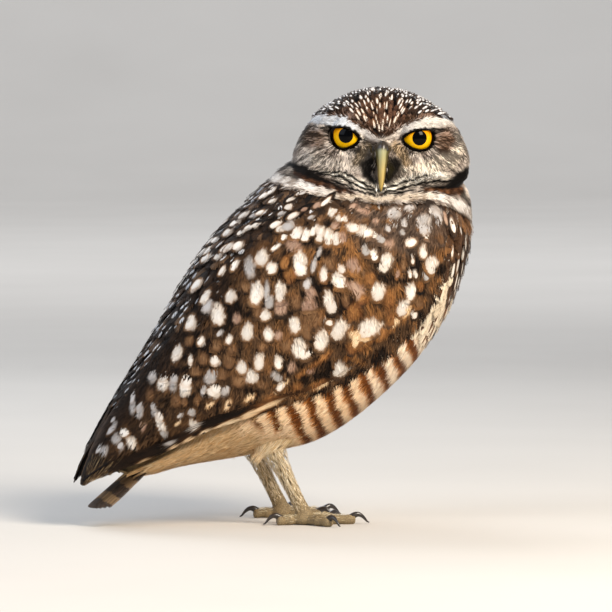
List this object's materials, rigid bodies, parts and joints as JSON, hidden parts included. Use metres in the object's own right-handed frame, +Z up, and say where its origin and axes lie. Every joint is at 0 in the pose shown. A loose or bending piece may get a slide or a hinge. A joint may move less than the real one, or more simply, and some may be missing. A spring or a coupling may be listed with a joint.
{
  "type": "burrowing owl",
  "caption": "Still life-size burrowing owl, standing upright with wings folded and its head turned over its own right side towards the viewer.",
  "frame": {"origin": "middle of the bounding box at the floor, between and a little behind the feet", "axes": "+X the way the breast faces, +Y the bird's left, +Z up; the bill points to -Y and a little to -X"},
  "size_m": [0.183, 0.0976, 0.1954],
  "materials": {
    "plumage_brown": "soft brown feathers with off-white spots",
    "plumage_head": "fine brown and white feathers, white brows and throat band",
    "plumage_cream": "soft cream feathers with brown bars on the flank",
    "iris_yellow": "wet bright yellow iris with a round black pupil",
    "bill_horn": "smooth yellowish grey horn",
    "foot_skin": "scaly greyish brown skin",
    "claw_horn": "dark polished horn"
  },
  "bodies": {
    "root": {"bill_lower": "bill_horn", "bill_upper": "bill_horn", "claw_hind_left": "claw_horn", "claw_hind_right": "claw_horn", "claw_inner_left": "claw_horn", "claw_inner_right": "claw_horn", "claw_middle_left": "claw_horn", "claw_middle_right": "claw_horn", "claw_outer_left": "claw_horn", "claw_outer_right": "claw_horn", "eye_left": "iris_yellow", "eye_right": "iris_yellow", "foot_left": "foot_skin", "foot_right": "foot_skin", "head": "plumage_head", "neck": "plumage_brown", "primaries_left": "plumage_brown", "primaries_right": "plumage_brown", "tail": "plumage_brown", "tarsus_left": "plumage_cream", "tarsus_right": "plumage_cream", "thigh_left": "plumage_cream", "thigh_right": "plumage_cream", "toe_hind_left": "foot_skin", "toe_hind_right": "foot_skin", "toe_inner_left": "foot_skin", "toe_inner_right": "foot_skin", "toe_middle_left": "foot_skin", "toe_middle_right": "foot_skin", "toe_outer_left": "foot_skin", "toe_outer_right": "foot_skin", "trunk": "plumage_brown", "undertail": "plumage_cream", "wing_left": "plumage_brown", "wing_right": "plumage_brown"}
  },
  "joints": []
}
